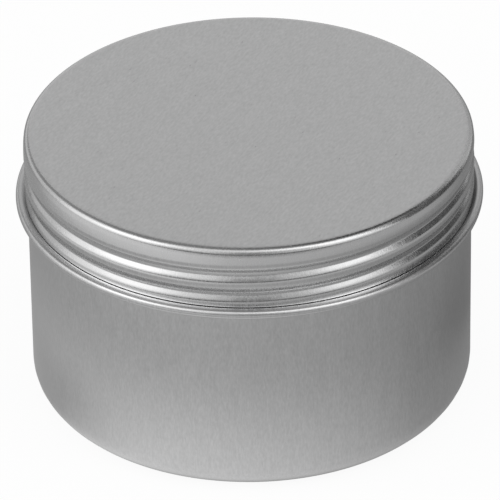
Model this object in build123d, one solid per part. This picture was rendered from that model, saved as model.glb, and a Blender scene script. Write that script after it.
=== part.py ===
from build123d import *
import math
import os

# Sizes are in millimetres. The closed tin stands on Z = 0 with its axis on Z and its front towards -Y.

# Whole tin, drawn from sheet metal
tin_height = 53.0
sheet = 0.45

# Lid
lid_diameter = 83.0
lid_height = 12.0
lid_corner_radius = 1.25
lid_edge_round = 0.15

# Can
body_diameter = 82.0
base_corner_radius = 5.2
base_ring_width = 3.0
base_panel_depth = 0.5
base_panel_slope_width = 1.2
base_panel_round = 1.0

# Shoulder bead, a fold of the can's wall just under the lid's edge
bead_overhang = 2.15
bead_thickness = 1.58
bead_round_share = 0.94
bead_foot_round = 0.3
lid_to_bead_gap = 0.16

# Neck and its curled rim
neck_clearance = 0.47
neck_foot_round = 0.5
rim_curl_radius = 0.95
rim_round_share = 0.97

# Liner, a foam wad under the lid's top
liner_thickness = 1.5
liner_side_gap = 0.3
liner_rim_gap = 0.15

# Thread, single start and right-handed, rolled to one height into the lid's skirt and the can's neck
thread_pitch = 4.1
thread_height = 0.68
thread_tip_share = 0.073
steep_flank_share = 0.22
gentle_flank_share = 0.4
thread_play = 0.35
thread_end_room = 0.1
lid_thread_front_drop = 5.6
lid_thread_edge_room = 0.3
thread_fade_angle = 50.0
thread_fade_sink = 0.05
thread_station_angle = 12.0

# How far a cutter starts away from the face that it cuts
cut_overrun = 0.3

# Where the front is, and a full turn about the tin's axis, in degrees
FRONT = -90.0
TURN = 360.0

# Lid levels and radii
lid_radius = lid_diameter / 2
lid_bore_radius = lid_radius - sheet
lid_edge_level = tin_height - lid_height
lid_ceiling_level = tin_height - sheet
liner_level = lid_ceiling_level - liner_thickness

# Can levels and radii, which follow from the lid that closes over it
body_radius = body_diameter / 2
bead_radius = body_radius + bead_overhang
bead_top_level = lid_edge_level - lid_to_bead_gap
bead_bottom_level = bead_top_level - bead_thickness
bead_round = bead_round_share * bead_thickness / 2
neck_radius = lid_bore_radius - thread_height - neck_clearance
neck_bore_radius = neck_radius - sheet
rim_level = liner_level - liner_rim_gap
rim_round = rim_round_share * rim_curl_radius

# Thread section, and the level of each thread's tip at the front: the can's ridge lies on top of the lid's
thread_tip_width = thread_tip_share * thread_pitch
steep_flank_run = steep_flank_share * thread_pitch
gentle_flank_run = gentle_flank_share * thread_pitch
steep_half_width = thread_tip_width / 2 + steep_flank_run
gentle_half_width = thread_tip_width / 2 + gentle_flank_run
thread_engagement = thread_height - neck_clearance
lid_thread_front = tin_height - lid_thread_front_drop
flank_rise = gentle_flank_run * thread_engagement / thread_height
can_thread_front = lid_thread_front + thread_tip_width + flank_rise + thread_play

# Levels between which each thread's tip climbs
lid_thread_bottom = lid_edge_level + steep_half_width + lid_thread_edge_room
lid_thread_top = liner_level - gentle_half_width - thread_end_room
can_thread_bottom = bead_top_level + neck_foot_round + gentle_half_width + thread_end_room
can_thread_top = rim_level - rim_curl_radius - steep_half_width - thread_end_room


def inner_face(points, rounds):
    """Corner points and rounds of the line that lies one sheet to the left of the given one."""
    points = [Vector(*point) for point in points]
    headings = [(after - before).normalized() for before, after in zip(points, points[1:])]
    lefts = [Vector(-heading.Y, heading.X) for heading in headings]
    corners = [
        point + (before + after) * (sheet / (1 + before.dot(after)))
        for point, before, after in zip(points[1:-1], lefts, lefts[1:])
    ]
    turns = [before.cross(after).Z for before, after in zip(headings, headings[1:])]
    inner_rounds = [size - math.copysign(sheet, turn) for size, turn in zip(rounds, turns)]
    return [points[0] + lefts[0] * sheet, *corners, points[-1] + lefts[-1] * sheet], inner_rounds


def sheet_ring(points, rounds):
    """A turned shell of sheet, outer face through the radius and height points, metal on their left."""
    inner_points, inner_rounds = inner_face(points, rounds)
    outer = FilletPolyline(*points, radius=rounds)
    inner = FilletPolyline(*inner_points, radius=inner_rounds)
    ends = [Line(outer @ end, inner @ end) for end in (0, 1)]
    return revolve(Plane.XZ * make_face([outer, inner, *ends]), axis=Axis.Z)


def faded_reach(angle_from_end):
    """Height of the thread over the wall's face, which it sinks under at its ends."""
    share = min(1, angle_from_end / thread_fade_angle)
    return share * share * (3 - 2 * share) * (thread_height + thread_fade_sink) - thread_fade_sink


def thread_bar(face_radius, outward, cover, lower_run, upper_run, front_level, bottom_level, top_level):
    """A bar along the thread that stands over a wall's face, and starts a cover's depth behind that face.

    outward is 1 where the bar's tip points away from the axis and -1 where it points to it. The runs are
    the heights of the flanks, and the levels are the tip's: at the front, at its bottom end and at its top.
    """
    start = FRONT + TURN * (bottom_level - front_level) / thread_pitch
    sweep = TURN * (top_level - bottom_level) / thread_pitch
    stations = math.ceil(sweep / thread_station_angle)
    half_tip = thread_tip_width / 2
    base = face_radius - outward * cover
    foot = face_radius - outward * 2 * thread_fade_sink
    sections = []
    for station in range(stations + 1):
        passed = sweep * station / stations
        reach = faded_reach(min(passed, sweep - passed))
        tip = face_radius + outward * reach
        flank_share = (reach + 2 * thread_fade_sink) / thread_height
        lower = -half_tip - flank_share * lower_run
        upper = half_tip + flank_share * upper_run
        lower_corners = [(base, lower), (foot, lower), (tip, -half_tip)]
        upper_corners = [(tip, half_tip), (foot, upper), (base, upper)]
        level = bottom_level + thread_pitch * passed / TURN
        place = Rot(0, 0, start + passed) * Pos(0, 0, level) * Plane.XZ.location
        sections.append(place * Wire(Polyline(*lower_corners, *upper_corners, close=True).edges()))
    return Solid.make_loft(sections)


# The can is one sheet: base panel, foot ring, wall, shoulder bead, neck and curled rim
foot_ring_radius = body_radius - base_corner_radius - base_ring_width
rim_centre_radius = neck_radius - rim_curl_radius
rim_bore_radius = rim_centre_radius - rim_curl_radius
rim_under_level = rim_level - 2 * rim_curl_radius
can_corners = [
    ((foot_ring_radius - base_panel_slope_width, base_panel_depth), base_panel_round),
    ((foot_ring_radius, 0), base_panel_round),
    ((body_radius, 0), base_corner_radius),
    ((body_radius, bead_bottom_level), bead_foot_round),
    ((bead_radius, bead_bottom_level), bead_round),
    ((bead_radius, bead_top_level), bead_round),
    ((neck_radius, bead_top_level), neck_foot_round),
    ((neck_radius, rim_level), rim_round),
    ((rim_bore_radius, rim_level), rim_round),
    ((rim_bore_radius, rim_under_level), rim_round),
]
can_line = [corner for corner, size in can_corners]
can_line = [(0, base_panel_depth), *can_line, (rim_centre_radius, rim_under_level)]
can_shell = sheet_ring(can_line, [size for corner, size in can_corners])

# Its thread stands out of the neck, and the same roll leaves a groove in the neck's bore
can_thread = (gentle_flank_run, steep_flank_run, can_thread_front, can_thread_bottom, can_thread_top)
can_ridge = thread_bar(neck_radius, 1, sheet / 2, *can_thread)
can_groove = thread_bar(neck_bore_radius, 1, cut_overrun, *can_thread)
tin_body = can_shell + can_ridge - can_groove

# The lid is one sheet too: a flat top and a skirt with a lightly rounded edge
lid_line = [(lid_radius, lid_edge_level), (lid_radius, tin_height), (0, tin_height)]
lid_shell = sheet_ring(lid_line, [lid_corner_radius])
lid_shell = fillet(lid_shell.edges().group_by(Axis.Z)[0], lid_edge_round)

# Its thread is a groove in the skirt's outside that stands as a ridge in its bore
lid_thread = (steep_flank_run, gentle_flank_run, lid_thread_front, lid_thread_bottom, lid_thread_top)
lid_ridge = thread_bar(lid_bore_radius, -1, sheet / 2, *lid_thread)
lid_groove = thread_bar(lid_radius, -1, cut_overrun, *lid_thread)
screw_lid = lid_shell + lid_ridge - lid_groove

# The liner is a disc against the lid's ceiling, with its upper edge eased to clear the corner inside the lid
liner_radius = lid_bore_radius - liner_side_gap
liner_edge_ease = lid_corner_radius - sheet - liner_side_gap
liner_disc = Cylinder(liner_radius, liner_thickness, align=(Align.CENTER, Align.CENTER, Align.MIN))
liner_disc = chamfer(liner_disc.edges().sort_by(Axis.Z)[-1], liner_edge_ease)
lid_liner = Pos(0, 0, liner_level) * liner_disc

os.makedirs("parts", exist_ok=True)
for name, piece in {"tin_body": tin_body, "screw_lid": screw_lid, "lid_liner": lid_liner}.items():
    print(name, len(piece.solids()), "solid,", round(piece.volume), "cubic mm, valid:", piece.is_valid)
    export_step(piece, f"parts/{name}.step")
print("turns of thread on the lid:", round((lid_thread_top - lid_thread_bottom) / thread_pitch, 2))
print("turns of thread on the can:", round((can_thread_top - can_thread_bottom) / thread_pitch, 2))
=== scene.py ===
import math

import bmesh
import bpy
import numpy as np
from mathutils import Matrix, Vector


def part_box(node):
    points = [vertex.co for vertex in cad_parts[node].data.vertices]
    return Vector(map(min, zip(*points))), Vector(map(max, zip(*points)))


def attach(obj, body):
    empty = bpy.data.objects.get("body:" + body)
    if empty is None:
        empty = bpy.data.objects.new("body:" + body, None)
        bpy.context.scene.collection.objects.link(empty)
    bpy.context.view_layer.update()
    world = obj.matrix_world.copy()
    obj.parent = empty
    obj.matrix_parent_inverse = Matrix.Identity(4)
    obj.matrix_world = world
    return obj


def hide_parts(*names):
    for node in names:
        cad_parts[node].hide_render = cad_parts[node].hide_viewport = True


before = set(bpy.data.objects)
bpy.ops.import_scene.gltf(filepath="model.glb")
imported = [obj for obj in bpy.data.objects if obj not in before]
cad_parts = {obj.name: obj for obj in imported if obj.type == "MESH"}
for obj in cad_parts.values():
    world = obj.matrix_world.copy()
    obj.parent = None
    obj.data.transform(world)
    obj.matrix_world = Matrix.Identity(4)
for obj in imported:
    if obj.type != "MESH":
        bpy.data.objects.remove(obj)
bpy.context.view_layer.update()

# View: the photograph's, from about 33 degrees above the table and well over a metre away with a long lens.
# The tin's axis leans by a hair in it, so the camera is rolled by as much.
view_height = math.radians(32.5643)
view_distance = 1.26553
view_roll = math.radians(0.85)
aim = Vector((0, 0, 0.0265))
view_data = bpy.data.cameras.new("photo_view")
view_data.sensor_width = 36
view_data.lens = 490.5
view_data.shift_x = -0.0007
view_data.shift_y = 0.0024
view_data.clip_start = 0.05
view_data.clip_end = 20
camera = bpy.data.objects.new("photo_view", view_data)
stand = Matrix.Translation(aim + view_distance * Vector((0, -math.cos(view_height), math.sin(view_height))))
tilt = Matrix.Rotation(math.radians(90) - view_height, 4, "X")
camera.matrix_world = stand @ tilt @ Matrix.Rotation(-view_roll, 4, "Z")
bpy.context.scene.collection.objects.link(camera)
bpy.context.scene.camera = camera
bpy.context.scene.view_settings.view_transform = "Standard"


# Can: one sheet of aluminium, drawn to a cup with a rounded base edge. It stands on a ring round a raised
# panel. Its wall is folded into a bead under the lid, and its neck is rolled into a thread and curled in at
# the rim.
mm = 0.001
axis_up = Vector((0, 0, 1))
front = math.radians(-90)
can_low, can_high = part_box("tin_body")
sheet = 0.45 * mm
panel_height = 0.5 * mm
panel_radius = 31.6 * mm
panel_round = 1.0 * mm
foot_ring_radius = 32.8 * mm
can_radius = 41.0 * mm
base_taper = 0.08 * mm
base_round = 5.5 * mm
bead_radius = 43.15 * mm
bead_foot = 39.26 * mm
bead_foot_round = 0.3 * mm
bead_top = 40.93 * mm
bead_round = 0.743 * mm
crease_radius = 41.85 * mm
crease_round = 0.6 * mm
shoulder_radius = 41.3 * mm
shoulder_level = bead_top - 0.05 * mm
shoulder_round = 0.5 * mm
neck_radius = 39.9 * mm
rim_level = can_high.z
rim_bore = 38.0 * mm
rim_under = 49.0 * mm
rim_round = 0.92 * mm
curl_end_radius = 38.95 * mm
neck_rows = 62
can_steps = 256

# Vertices closer than the weld are merged. A vertex is held a little beyond each rounding of a drawn line,
# but not on a run too short for two of them.
weld = 0.001 * mm
hold = 0.25 * mm
short_run = 4 * hold
arc_pieces = 9

# The thread is right-handed with a single start, and fades in and out over some degrees of turn. The lid's
# ridge runs below the can's, and so holds the lid down. Slopes are pairs: the millimetres above the thread's
# middle, and the degrees that the face leans upward there.
pitch = 4.1 * mm
fade_degrees = 50
fade_rise = pitch * fade_degrees / 360
section_samples = 400
lid_thread_front = 47.4 * mm
can_thread_front = lid_thread_front + 1.16 * mm
can_thread_bottom = 43.0 * mm
can_thread_top = 48.5 * mm
can_thread_slopes = [(-1.8, 0), (-1.5, -22), (-0.35, -24), (0, 0), (0.3, 38), (0.75, 36), (1.05, 0), (1.8, 0)]


def draw_line(mesh, corners):
    """Draws a line in the XZ plane through corners given as (radius, height, rounding), and rounds them.

    The vertices held beyond the roundings make the straight runs shade straight.
    """
    points = [Vector((radius, 0, height)) for radius, height, rounding in corners]
    headings = [(after - before).normalized() for before, after in zip(points, points[1:])]
    turns = [before.angle(after) for before, after in zip(headings, headings[1:])]
    cuts = [0, *(size * math.tan(turn / 2) for (*_, size), turn in zip(corners[1:-1], turns)), 0]
    line = []
    rounded = []
    for number, point in enumerate(points):
        line.append(mesh.verts.new(point))
        if cuts[number]:
            rounded.append((line[-1], cuts[number]))
        if number == len(points) - 1:
            break
        run = (points[number + 1] - point).length
        if run - cuts[number] - cuts[number + 1] > short_run:
            held = []
            if cuts[number]:
                held.append(cuts[number] + hold)
            if cuts[number + 1]:
                held.append(run - cuts[number + 1] - hold)
            line += [mesh.verts.new(point + headings[number] * along) for along in held]
    for start, end in zip(line, line[1:]):
        mesh.edges.new((start, end))
    for vert, cut in rounded:
        bmesh.ops.bevel(
            mesh, geom=[vert], offset=cut, offset_type="OFFSET", segments=arc_pieces,
            profile=0.5, affect="VERTICES", material=-1,
        )


def cut_rows(mesh, low, high, rows):
    """Cuts the long run of a drawn line that lies between two heights into rows."""
    run = [
        edge for edge in mesh.edges
        if edge.calc_length() > short_run and all(low < vert.co.z < high for vert in edge.verts)
    ]
    bmesh.ops.subdivide_edges(mesh, edges=run, cuts=rows - 1)


def turn_line(mesh, steps):
    """Turns a drawn line about the tin's axis, and closes the seam and the poles."""
    bmesh.ops.spin(
        mesh, geom=mesh.verts[:] + mesh.edges[:], cent=(0, 0, 0), axis=axis_up,
        angle=math.tau, steps=steps, use_merge=True,
    )
    bmesh.ops.remove_doubles(mesh, verts=mesh.verts[:], dist=weld)
    bmesh.ops.recalc_face_normals(mesh, faces=mesh.faces[:])


def from_axis(point):
    """How far a point lies from the tin's axis."""
    return point.to_2d().length


def roll_section(slopes):
    """The heights of a rolled section, and how far out its face stands at each, worked out from its slopes.

    What the slopes leave over at the upper end is spread over the section, so that both ends meet the wall.
    """
    heights = np.linspace(slopes[0][0], slopes[-1][0], section_samples)
    leans = np.radians(np.interp(heights, *zip(*slopes)))
    radii = -np.cumsum(np.tan(leans)) * (heights[1] - heights[0])
    left_over = np.linspace(0, radii[-1], len(radii))
    return heights * mm, (radii - left_over) * mm


def roll_thread(mesh, radius, section, front_level, bottom, top):
    """Rolls a thread into both faces of an upright wall: what lies near the helix takes the section."""
    heights, radii = section
    wall = [
        vert for vert in mesh.verts
        if -weld < radius - from_axis(vert.co) < sheet + weld and bottom - pitch < vert.co.z < top + pitch
    ]
    x, y, z = np.array([vert.co for vert in wall]).T
    passing = front_level + pitch * ((np.arctan2(y, x) - front) % math.tau) / math.tau
    nearest = passing + pitch * np.round((z - passing) / pitch)
    shift = np.zeros(len(wall))
    for level in (nearest - pitch, nearest, nearest + pitch):
        share = np.clip(np.minimum(level - bottom, top - level) / fade_rise, 0, 1)
        share = share * share * (3 - 2 * share)
        shift += share * np.interp(z - level, heights, radii, left=0, right=0)
    for vert, size in zip(wall, 1 + shift / np.hypot(x, y)):
        vert.co.xy *= size


def make_object(name, mesh, materials):
    """Makes an object of a mesh in the making, which is used up."""
    data = bpy.data.meshes.new(name)
    mesh.to_mesh(data)
    mesh.free()
    for material in materials:
        data.materials.append(material)
    made = bpy.data.objects.new(name, data)
    bpy.context.scene.collection.objects.link(made)
    return made


def finish_piece(mesh, name, body, node, materials):
    """Makes a smooth piece that rides on its body and stands for its CAD node."""
    bmesh.ops.triangulate(mesh, faces=[face for face in mesh.faces if len(face.verts) > 4])
    for face in mesh.faces:
        face.smooth = True
    piece = make_object(name, mesh, materials)
    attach(piece, body)
    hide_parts(node)
    return piece


class Signal:
    """An output of a node. An expression written with it adds the Math nodes that work it out."""

    def __init__(self, finish, output):
        self.finish = finish
        self.output = output

    def maths(self, operation, first, second):
        return self.finish.node("ShaderNodeMath", {"operation": operation}, {0: first, 1: second})

    def larger(self, other):
        return self.maths("MAXIMUM", self, other)

    def __add__(self, other):
        return self.maths("ADD", self, other)

    def __radd__(self, other):
        return self.maths("ADD", other, self)

    def __sub__(self, other):
        return self.maths("SUBTRACT", self, other)

    def __rsub__(self, other):
        return self.maths("SUBTRACT", other, self)

    def __mul__(self, other):
        return self.maths("MULTIPLY", self, other)

    def __rmul__(self, other):
        return self.maths("MULTIPLY", other, self)

    def __truediv__(self, other):
        return self.maths("DIVIDE", self, other)

    def __rtruediv__(self, other):
        return self.maths("DIVIDE", other, self)


class Finish:
    """The finish of a surface or of the room, built node by node in place of the nodes it starts with."""

    def __init__(self, owner):
        owner.use_nodes = True
        self.tree = owner.node_tree
        self.tree.nodes.clear()

    def node(self, kind, settings, inputs, output=0):
        """Adds a node with its settings first and its inputs after them, and returns one of its outputs."""
        made = self.tree.nodes.new(kind)
        for name, value in settings.items():
            setattr(made, name, value)
        for name, value in inputs.items():
            if isinstance(value, Signal):
                self.tree.links.new(value.output, made.inputs[name])
            else:
                made.inputs[name].default_value = value
        return Signal(self, made.outputs[output]) if made.outputs else None

    def place(self):
        """Where a point lies on its piece, in metres."""
        return self.node("ShaderNodeTexCoord", {}, {}, "Object")

    def height(self):
        """How high a point lies on its piece, in metres."""
        return self.node("ShaderNodeSeparateXYZ", {}, {"Vector": self.place()}, "Z")

    def radius(self):
        """How far a point lies from its piece's upright axis, in metres."""
        flat = self.node("ShaderNodeVectorMath", {"operation": "MULTIPLY"}, {0: self.place(), 1: (1, 1, 0)})
        return self.node("ShaderNodeVectorMath", {"operation": "LENGTH"}, {0: flat}, "Value")

    def facing(self, side):
        """How far a point lies towards a side, in degrees to the right of the front: from 1 down to -1."""
        side = math.radians(side)
        heading = (math.sin(side), -math.cos(side), 0)
        along = self.node(
            "ShaderNodeVectorMath", {"operation": "DOT_PRODUCT"}, {0: self.place(), 1: heading}, "Value",
        )
        return along / self.radius()

    def noise(self, grain, turn=0, detail=2.0, roughness=0.5):
        """Noise from 0 to 1 in grains of a size in metres, turned about the tin's axis by some degrees."""
        spot = self.node(
            "ShaderNodeMapping", {"vector_type": "TEXTURE"},
            {"Vector": self.place(), "Rotation": (0, 0, math.radians(turn)), "Scale": grain},
        )
        return self.node(
            "ShaderNodeTexNoise", {"noise_dimensions": "3D", "normalize": True},
            {"Vector": spot, "Scale": 1.0, "Detail": detail, "Roughness": roughness},
        )

    def ramp(self, value, start, end):
        """Rises smoothly from 0 at a value's start to 1 at its end, either of which may be the lower one."""
        return self.node(
            "ShaderNodeMapRange", {"interpolation_type": "SMOOTHSTEP", "clamp": True},
            {"Value": value, "From Min": start, "From Max": end, "To Min": 0.0, "To Max": 1.0},
        )

    def tint(self, colour, shade):
        """A colour made lighter or darker by a shade, where 1 leaves it as it is."""
        return self.node("ShaderNodeVectorMath", {"operation": "SCALE"}, {0: colour, "Scale": shade})

    def bump(self, height, pattern):
        """A relief of a height in metres that follows a pattern."""
        return self.node("ShaderNodeBump", {}, {"Strength": 1.0, "Distance": height, "Height": pattern})

    def ray(self, kind):
        """1 for one kind of light ray and 0 for the others."""
        return self.node("ShaderNodeLightPath", {}, {}, kind)

    def cover(self, shader, output="ShaderNodeOutputMaterial"):
        """Puts a shader on the surface."""
        self.node(output, {}, {"Surface": shader})


# Bare aluminium is a hair bluer than grey. It has patches six times as large as its grain and fainter.
# Where its colour is painted brighter it is made smoother, and rougher where it is made darker.
blue_cast = 1.003
patch_size = 6
patch_tint = 0.25
patch_roughness = 0.5
tone_smoothing = 0.12


def bare_metal(
    name, grain, roughness, roughness_swing, grey, grey_swing, bump_height, anisotropy, turn=0, painted_tone=None,
):
    """Bare aluminium with a drawn or rolled grain in its tint, its roughness and its bump.

    The painted tone is a function that says how much brighter its colour is painted at a point, and darker
    below 0.
    """
    material = bpy.data.materials.new(name)
    finish = Finish(material)
    fine = finish.noise(grain, turn, detail=2.0, roughness=0.6)
    broad = finish.noise(tuple(size * patch_size for size in grain), turn, detail=1.0)
    shade = (fine - 0.5) * grey_swing + (broad - 0.5) * (grey_swing * patch_tint) + 1
    rough = (fine - 0.5) * roughness_swing + (broad - 0.5) * (roughness_swing * patch_roughness) + roughness
    # The painted tone carries painted light and painted shade into the base colour.
    if painted_tone:
        tone_gain = painted_tone(finish)
        shade = shade * (tone_gain + 1)
        rough = rough - tone_gain * tone_smoothing
    finish.cover(finish.node("ShaderNodeBsdfPrincipled", {}, {
        "Base Color": finish.tint((grey, grey, grey * blue_cast), shade),
        "Metallic": 1.0,
        "Roughness": rough,
        "Anisotropic": anisotropy,
        "Tangent": finish.node("ShaderNodeTangent", {"direction_type": "RADIAL", "axis": "Z"}, {}),
        "Normal": finish.bump(bump_height, fine),
    }))
    return material


# How much painted light brightens the inside of the can's bead at the front, and its outer round as a
# painted highlight; and how much painted shade darkens its crease away from the front and more at the right.
front_painted_light = 1.2
bead_painted_highlight = 0.17
crease_painted_shade = 0.25
right_painted_shade = 0.5


def shoulder_painted_light(finish):
    """Painted light inside the bead at the front and on its outer round, and painted shade in its crease."""
    height = finish.height()
    radius = finish.radius()
    at_front = finish.ramp(finish.facing(0), 0.1, 0.7)
    at_right = finish.ramp(finish.facing(90), 0.8, 0.95)
    at_highlight = finish.ramp(finish.facing(-6), 0.78, 0.87)
    shoulder = finish.ramp(height, 39.9 * mm, 40.3 * mm) * finish.ramp(height, 41.3 * mm, 41.0 * mm)
    inside = finish.ramp(radius, 42.7 * mm, 41.9 * mm)
    crease = finish.ramp(radius, 42.25 * mm, 41.85 * mm)
    outer_round = finish.ramp(radius, 42.45 * mm, 42.75 * mm) * finish.ramp(height, 40.2 * mm, 40.5 * mm)
    # Painted light inside the bead at the front and a painted highlight on its round; painted shade in the
    # crease.
    inside_light = inside * at_front * front_painted_light
    crease_shade = crease * ((1 - at_front) * crease_painted_shade + at_right * right_painted_shade)
    return outer_round * at_highlight * bead_painted_highlight + shoulder * (inside_light - crease_shade)


can = bmesh.new()
draw_line(can, [
    (0, panel_height, 0),
    (panel_radius, panel_height, panel_round),
    (foot_ring_radius, can_low.z, panel_round),
    (can_radius - base_taper, can_low.z, base_round),
    (can_radius, bead_foot, bead_foot_round),
    (bead_radius, bead_foot, bead_round),
    (bead_radius, bead_top, bead_round),
    (crease_radius, bead_top, crease_round),
    (shoulder_radius, shoulder_level, shoulder_round),
    (neck_radius, shoulder_level, shoulder_round),
    (neck_radius, rim_level, rim_round),
    (rim_bore, rim_level, rim_round),
    (rim_bore, rim_under, rim_round),
    (curl_end_radius, rim_under, 0),
])
cut_rows(can, bead_top, rim_level, neck_rows)
turn_line(can, can_steps)
bmesh.ops.solidify(can, geom=can.faces[:], thickness=sheet)
can_section = roll_section(can_thread_slopes)
roll_thread(can, neck_radius, can_section, can_thread_front, can_thread_bottom, can_thread_top)
wall_metal = bare_metal(
    "can_wall", grain=(0.32 * mm, 0.32 * mm, 1.2 * mm), roughness=0.34, roughness_swing=0.12,
    grey=0.42, grey_swing=0.4, bump_height=0.008 * mm, anisotropy=0.4, painted_tone=shoulder_painted_light,
)
finish_piece(can, "can", "tin", "tin_body", [wall_metal])


# Lid: one sheet of aluminium as well, with a flat top and a skirt that leans in by a hair above the thread.
# The thread is rolled into the skirt from outside, and the sheet bulges a little over the roll.
lid_low, lid_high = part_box("screw_lid")
lid_radius = 41.5 * mm
lean_level = 49.8 * mm
lean_round = 30 * mm
leaning_radius = lid_radius - 0.04 * mm
leaning_level = 51.3 * mm
leaning_round = 5 * mm
corner_radius = lid_radius - 0.215 * mm
corner_level = 52.727 * mm
corner_round = 1.15 * mm
flat_radius = 40.2 * mm
flat_round = 3.2 * mm
threaded_top = 50 * mm
skirt_rows = 106
lid_steps = 300
lower_edge_round = 0.07 * mm
lid_thread_bottom = 42.0 * mm
lid_thread_top = 48.8 * mm
lid_thread_slopes = [
    (-1.5, 0), (-1.35, 4), (-1.15, 11), (-1.0, 18), (-0.85, 27), (-0.7, 34), (-0.4, 37), (-0.12, 37),
    (-0.05, 28), (0, 4), (0.08, -4), (0.3, -11), (0.5, -16), (0.7, -20), (0.85, -23), (1.1, -24.5),
    (1.35, -24), (1.5, -22), (1.65, -16), (1.8, -11), (2.0, -8), (2.3, -4), (2.6, 0),
]
level_face = 0.98
top_grain_radius = lid_radius - 1.2 * mm
# The lid's lower edge gets painted light at the front, and its lower skirt is made a little darker.
edge_painted_light = 0.4
lower_skirt_darkening = 0.1


def round_lower_edge(mesh, level, size):
    """Rounds the outer and the inner ring of a skirt's cut lower edge."""
    rings = []
    for edge in mesh.edges:
        start, end = edge.verts
        is_low = start.co.z < level + weld and end.co.z < level + weld
        if is_low and abs(from_axis(start.co) - from_axis(end.co)) < weld:
            rings.append(edge)
    bmesh.ops.bevel(
        mesh, geom=rings, offset=size, offset_type="OFFSET", segments=3,
        profile=0.5, affect="EDGES", material=-1,
    )


def edge_light_and_darker_skirt(finish):
    """Painted light along the lid's lower edge at the front, and a lower skirt a little darker and rougher.
    """
    height = finish.height()
    edge = finish.ramp(height, 41.3 * mm, 41.0 * mm) * finish.ramp(finish.facing(0), 0.1, 0.7)
    lower_skirt = finish.ramp(height, 45.2 * mm, 43.8 * mm)
    return edge * edge_painted_light - lower_skirt * lower_skirt_darkening


lid = bmesh.new()
draw_line(lid, [
    (lid_radius, lid_low.z, 0),
    (lid_radius, lean_level, lean_round),
    (leaning_radius, leaning_level, leaning_round),
    (corner_radius, corner_level, corner_round),
    (flat_radius, lid_high.z, flat_round),
    (0, lid_high.z, 0),
])
cut_rows(lid, lid_low.z - weld, threaded_top, skirt_rows)
turn_line(lid, lid_steps)
bmesh.ops.solidify(lid, geom=lid.faces[:], thickness=sheet)
round_lower_edge(lid, lid_low.z, lower_edge_round)
lid_section = roll_section(lid_thread_slopes)
roll_thread(lid, lid_radius, lid_section, lid_thread_front, lid_thread_bottom, lid_thread_top)
skirt_metal = bare_metal(
    "lid_skirt", grain=(0.32 * mm, 0.32 * mm, 1.6 * mm), roughness=0.24, roughness_swing=0.22,
    grey=0.42, grey_swing=0.24, bump_height=0.013 * mm, anisotropy=0.4, painted_tone=edge_light_and_darker_skirt,
)
top_metal = bare_metal(
    "lid_top", grain=(1.1 * mm, 0.42 * mm, 0.42 * mm), turn=65, roughness=0.30, roughness_swing=0.08,
    grey=0.398, grey_swing=0.44, bump_height=0.003 * mm, anisotropy=0.0,
)
for face in lid.faces:
    lies_level = abs(face.normal.z) > level_face
    face.material_index = int(lies_level and from_axis(face.calc_center_median()) < top_grain_radius)
finish_piece(lid, "lid", "lid", "screw_lid", [skirt_metal, top_metal])


# Liner: a round wad of white closed-cell foam, die-cut from sheet and pressed in under the lid's top. Its
# upper edge is eased to lie in the corner inside the lid.
liner_low, liner_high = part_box("lid_liner")
liner_radius = 40.75 * mm
liner_lower_round = 0.35 * mm
liner_ease = 0.45 * mm
liner_ease_round = 0.1 * mm
liner_steps = 180
foam_white = (0.86, 0.86, 0.84)
foam_cell = 0.55 * mm
foam_swing = 0.1
foam_relief = 0.05 * mm
liner = bmesh.new()
draw_line(liner, [
    (0, liner_low.z, 0),
    (liner_radius, liner_low.z, liner_lower_round),
    (liner_radius, liner_high.z - liner_ease, liner_ease_round),
    (liner_radius - liner_ease, liner_high.z, liner_ease_round),
    (0, liner_high.z, 0),
])
turn_line(liner, liner_steps)
foam = bpy.data.materials.new("liner_foam")
finish = Finish(foam)
cells = finish.noise((foam_cell, foam_cell, foam_cell))
finish.cover(finish.node("ShaderNodeBsdfPrincipled", {}, {
    "Base Color": finish.tint(foam_white, (cells - 0.5) * foam_swing + 1),
    "Roughness": 0.8,
    "Normal": finish.bump(foam_relief, cells),
}))
wad = finish_piece(liner, "liner", "liner", "lid_liner", [foam])


# Table: a wide pale sheet that the camera sees nearly white and that keeps the tin's shadow. Metal mirrors
# the photograph's table in it: brightest before the tin, a little to the left, with a dimmer band close to
# the tin's sides, lighter again farther out at the front and the left, and dim under the tin.
table_reach = 6
white_share = 0.93
brightest_side = -28
pool_level = 0.52
pool_swing = 0.19
near_level = 0.03
near_swing = 0.52
far_left_level = 0.34
far_front_level = 0.26
dimmest = 0.29
table_mesh = bmesh.new()
bmesh.ops.create_grid(table_mesh, x_segments=1, y_segments=1, size=table_reach)
table_paint = bpy.data.materials.new("table")
table = make_object("table", table_mesh, [table_paint])
finish = Finish(table_paint)
away = finish.radius()
lit = finish.facing(brightest_side)
to_front = finish.facing(0)
near = finish.ramp(away, 0.090, 0.045)
beside = finish.ramp(to_front, 0.8, 0.25) * finish.ramp(away, 0.066, 0.050)
near_light = near * (lit * near_swing + near_level) * (1 - beside)
far = finish.ramp(away, 0.106, 0.121)
far_left = finish.ramp(finish.facing(-60), 0.5, 1.0)
far_front = finish.ramp(to_front, -0.6, 0.2)
far_light = far * (far_left * far_left_level + far_front * far_front_level)
clear_of_tin = finish.ramp(away, 0.036, 0.0405)
# The mirrored table is painted light: a painted pool of light, painted shade beside the tin, painted shadow
# under it.
pool = ((lit * pool_swing + pool_level + near_light + far_light) * clear_of_tin).larger(dimmest)
matt = finish.node("ShaderNodeBsdfDiffuse", {}, {"Color": (0.95, 0.95, 0.95, 1)})
white = finish.node("ShaderNodeEmission", {}, {"Color": (1, 1, 1, 1), "Strength": 1.0})
mirrored = finish.node("ShaderNodeEmission", {}, {"Color": finish.tint((1, 1, 1), pool), "Strength": 1.0})
by_eye = finish.ray("Is Camera Ray").larger(finish.ray("Is Transmission Ray"))
to_eye = finish.node("ShaderNodeMixShader", {}, {0: by_eye * white_share, 1: matt, 2: white})
by_metal = finish.ray("Is Glossy Ray")
finish.cover(finish.node("ShaderNodeMixShader", {}, {0: by_metal, 1: to_eye, 2: mirrored}))


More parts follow.
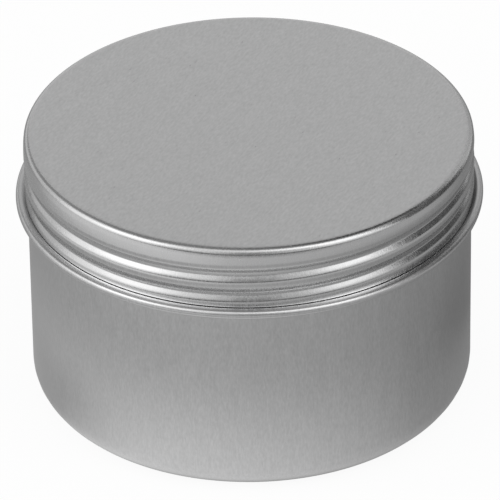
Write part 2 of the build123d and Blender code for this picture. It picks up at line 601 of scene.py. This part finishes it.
# Studio: a room that the camera and the metal see as white and that lights the tin at a lower level. It has
# soft boxes to the tin's left, to its right and over its front, and cards from near black to light grey for
# the metal to mirror.
room_level = 0.62
world = bpy.data.worlds.new("studio")
bpy.context.scene.world = world
finish = Finish(world)
by_eye = finish.ray("Is Camera Ray").larger(finish.ray("Is Transmission Ray"))
seen = by_eye.larger(finish.ray("Is Glossy Ray"))
room_light = seen * (1 - room_level) + room_level
room = finish.node("ShaderNodeBackground", {}, {"Color": (1, 1, 1, 1), "Strength": room_light})
finish.cover(room, "ShaderNodeOutputWorld")


def towards(side, height):
    """The direction to something at so many degrees to the right of the front, and so many degrees up."""
    side = math.radians(side)
    height = math.radians(height)
    return Vector((math.sin(side) * math.cos(height), -math.cos(side) * math.cos(height), math.sin(height)))


def soft_box(name, side, height, distance, width, tall, level):
    """A soft box aimed at the tin. Its level is how bright its face is."""
    lamp = bpy.data.lights.new(name, "AREA")
    lamp.shape = "RECTANGLE"
    lamp.size = width
    lamp.size_y = tall
    lamp.energy = level * math.pi * width * tall
    box = bpy.data.objects.new(name, lamp)
    bpy.context.scene.collection.objects.link(box)
    away = towards(side, height)
    box.location = aim + away * distance
    box.rotation_euler = away.to_track_quat("Z", "Y").to_euler()


def card(name, centre, facing, width, tall, grey):
    """A card that the metal mirrors, while the camera doesn't see it and it casts no shadow."""
    card_mesh = bmesh.new()
    bmesh.ops.create_grid(card_mesh, x_segments=1, y_segments=1, size=0.5)
    bmesh.ops.scale(card_mesh, vec=(width, tall, 1), verts=card_mesh.verts[:])
    turned = Matrix.Translation(centre) @ facing.to_track_quat("Z", "Y").to_matrix().to_4x4()
    bmesh.ops.transform(card_mesh, matrix=turned, verts=card_mesh.verts[:])
    paint = bpy.data.materials.new(name)
    piece = make_object(name, card_mesh, [paint])
    piece.visible_camera = False
    piece.visible_diffuse = False
    piece.visible_shadow = False
    finish = Finish(paint)
    finish.cover(finish.node("ShaderNodeEmission", {}, {"Color": (1, 1, 1, 1), "Strength": grey}))


def aimed_card(name, side, height, distance, width, tall, grey):
    """A card that faces the tin."""
    away = towards(side, height)
    card(name, aim + away * distance, -away, width, tall, grey)


soft_box("left_box", side=-73, height=30, distance=1.0, width=1.02, tall=1.0, level=0.85)
soft_box("left_core", side=-65, height=36, distance=0.98, width=0.5, tall=0.5, level=0.9)
soft_box("left_fill", side=-32, height=34, distance=1.02, width=0.42, tall=0.3, level=0.5)
soft_box("right_box", side=55, height=38, distance=1.0, width=0.66, tall=0.8, level=0.6)
soft_box("right_core", side=53, height=41, distance=0.98, width=0.4, tall=0.42, level=0.9)
soft_box("right_top_box", side=42, height=60, distance=1.02, width=0.6, tall=0.35, level=0.9)
soft_box("front_box", side=0, height=62, distance=1.0, width=0.9, tall=0.45, level=0.3)
card("front_table_card", Vector((0, -0.72, 0.0005)), axis_up, width=1.6, tall=1.0, grey=0.25)
aimed_card("camera_card", side=0, height=25, distance=1.1, width=0.4, tall=0.56, grey=0.4)
card("front_card", Vector((0, -1.18, 0.12)), Vector((0, 1, 0)), width=2.0, tall=0.24, grey=0.35)
card("top_card", Vector((0, 0.37, 1.1)), Vector((0, 0, -1)), width=2.4, tall=1.14, grey=0.4)
aimed_card("top_right_card", side=142, height=57, distance=0.85, width=0.5, tall=0.42, grey=0.07)
aimed_card("right_card", side=101, height=24, distance=0.9, width=0.84, tall=0.8, grey=0.12)
aimed_card("right_back_card", side=153, height=14, distance=0.95, width=0.42, tall=0.6, grey=0.66)
aimed_card("left_back_card", side=-143, height=37, distance=0.9, width=0.42, tall=0.48, grey=0.45)
